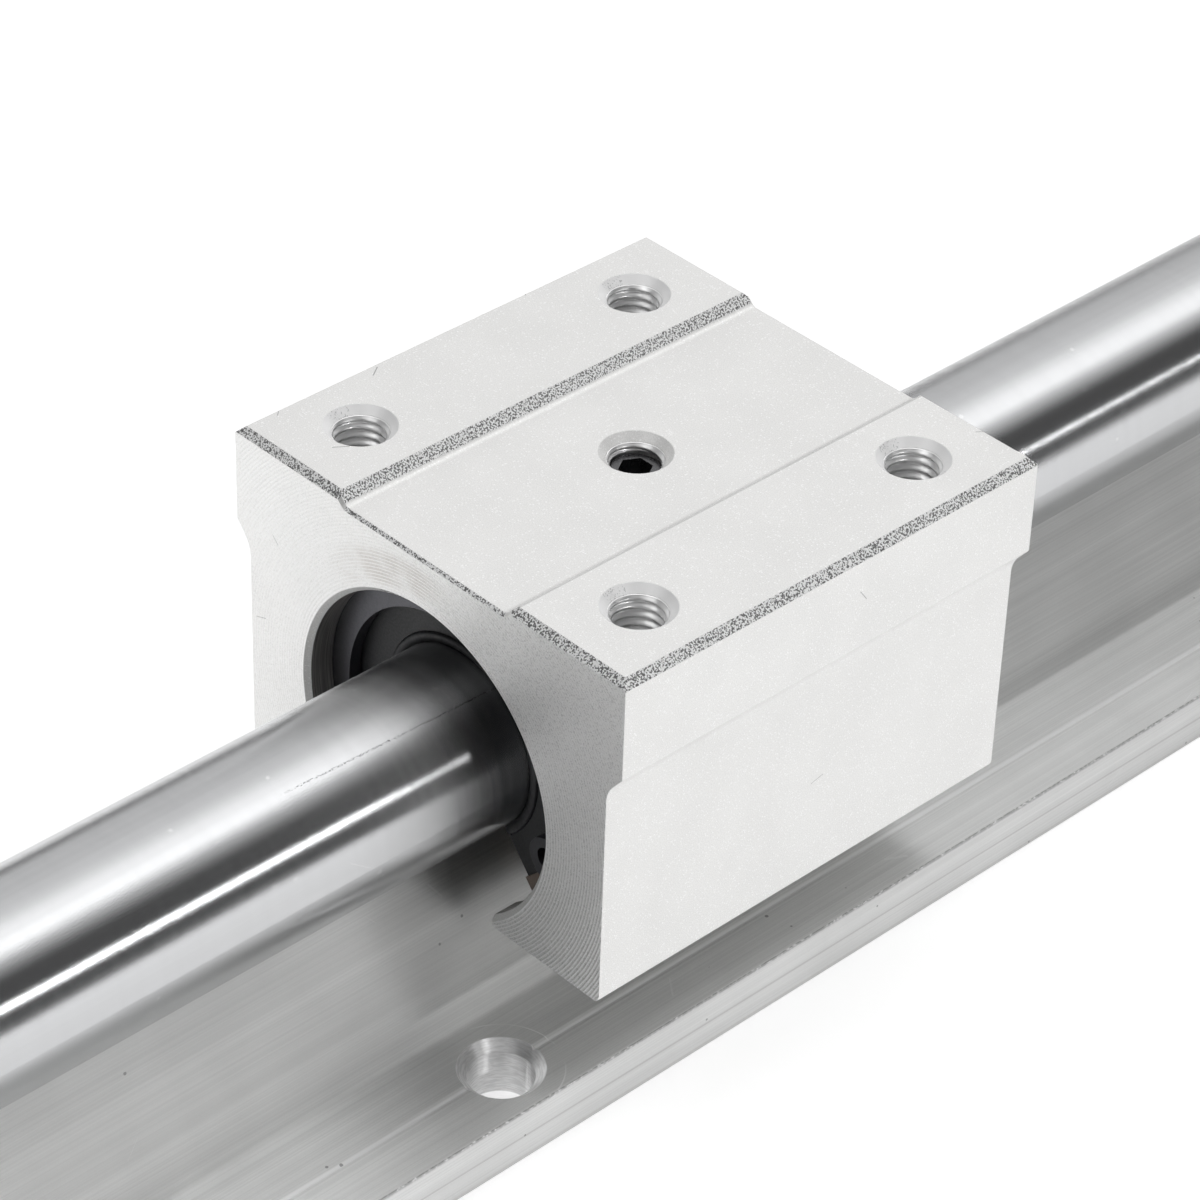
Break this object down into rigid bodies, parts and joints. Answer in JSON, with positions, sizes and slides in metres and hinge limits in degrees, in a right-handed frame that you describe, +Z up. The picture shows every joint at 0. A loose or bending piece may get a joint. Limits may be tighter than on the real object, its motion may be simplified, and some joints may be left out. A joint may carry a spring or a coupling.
{
  "type": "linear shaft on support rail with bearing block",
  "caption": "Round steel shaft bolted along an extruded aluminium support rail, carrying one open ball bearing block with a tapped mounting top.",
  "frame": {"origin": "middle of the support rail's underside", "axes": "X runs across the rail, Y along the shaft, Z up out of the base; the rail is symmetric about the YZ plane"},
  "size_m": [0.045, 0.3, 0.045],
  "materials": {
    "rail_aluminium": "drawn, satin",
    "shaft_steel": "ground and polished",
    "black_steel": "black oxide",
    "block_aluminium": "blasted, pale matte",
    "sleeve_steel": "hardened, ground",
    "ball_steel": "polished bearing steel",
    "cage_plastic": "moulded",
    "seal_rubber": "matte",
    "ring_steel": "phosphated spring steel"
  },
  "bodies": {
    "rail": {"support_rail": "rail_aluminium", "shaft": "shaft_steel", "shaft_screw_1": "black_steel", "shaft_screw_2": "black_steel"},
    "carriage": {"bearing_block": "block_aluminium", "bushing_sleeve": "sleeve_steel", "ball_cage": "cage_plastic", "bearing_balls": "ball_steel", "end_seal_front": "seal_rubber", "end_seal_rear": "seal_rubber", "retaining_ring_front": "ring_steel", "retaining_ring_rear": "ring_steel", "set_screw": "black_steel"}
  },
  "joints": [
    {"name": "carriage_slide", "type": "slide", "parent": "rail", "child": "carriage", "axis": [0, 1, 0], "range_m": [-0.0797, 0.1753]}
  ]
}
